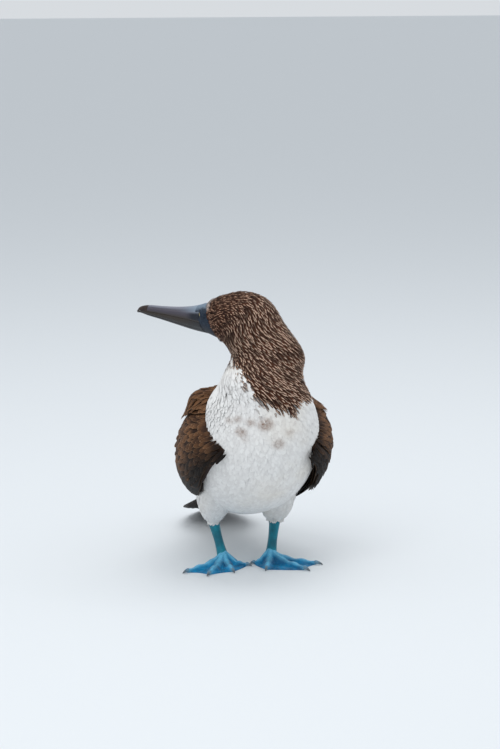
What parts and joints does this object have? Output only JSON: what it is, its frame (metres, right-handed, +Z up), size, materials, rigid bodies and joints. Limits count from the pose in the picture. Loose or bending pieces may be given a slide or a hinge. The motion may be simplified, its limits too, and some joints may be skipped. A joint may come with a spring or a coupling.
{
  "type": "blue-footed booby",
  "caption": "Seabird standing upright on webbed feet, head turned over its shoulder, dagger bill closed and wings folded over a wedge tail.",
  "frame": {"origin": "middle of the bird's box in plan, at the soles' level", "axes": "+Z up, -Y the way the chest faces, +X the bird's left side; the head is turned to its right and back"},
  "size_m": [0.2206, 0.4472, 0.344],
  "materials": {
    "white_feathers": "matt white plumage",
    "streaked_feathers": "brown plumage with pale streaks",
    "brown_feathers": "brown plumage",
    "tail_feathers": "dark brown plumage",
    "bill_horn": "satin slate-blue horn",
    "bill_nail": "satin brown horn",
    "face_skin": "bare slate skin",
    "eye": "wet pale yellow",
    "leg_skin": "scaly blue-green skin",
    "foot_skin": "scaly bright blue skin",
    "claw_horn": "grey horn"
  },
  "bodies": {
    "root": {"torso": "white_feathers", "neck_lower": "streaked_feathers", "neck_upper": "streaked_feathers", "head": "streaked_feathers", "face": "face_skin", "eye_left": "eye", "eye_right": "eye", "bill_upper": "bill_horn", "bill_nail": "bill_nail", "bill_lower": "bill_horn", "thigh_right": "white_feathers", "shank_right": "leg_skin", "foot_right": "foot_skin", "claw_right_hind": "claw_horn", "claw_right_inner": "claw_horn", "claw_right_middle": "claw_horn", "claw_right_outer": "claw_horn", "thigh_left": "white_feathers", "shank_left": "leg_skin", "foot_left": "foot_skin", "claw_left_hind": "claw_horn", "claw_left_inner": "claw_horn", "claw_left_middle": "claw_horn", "claw_left_outer": "claw_horn", "wing_left": "brown_feathers", "wing_right": "brown_feathers", "tail": "tail_feathers"}
  },
  "joints": []
}
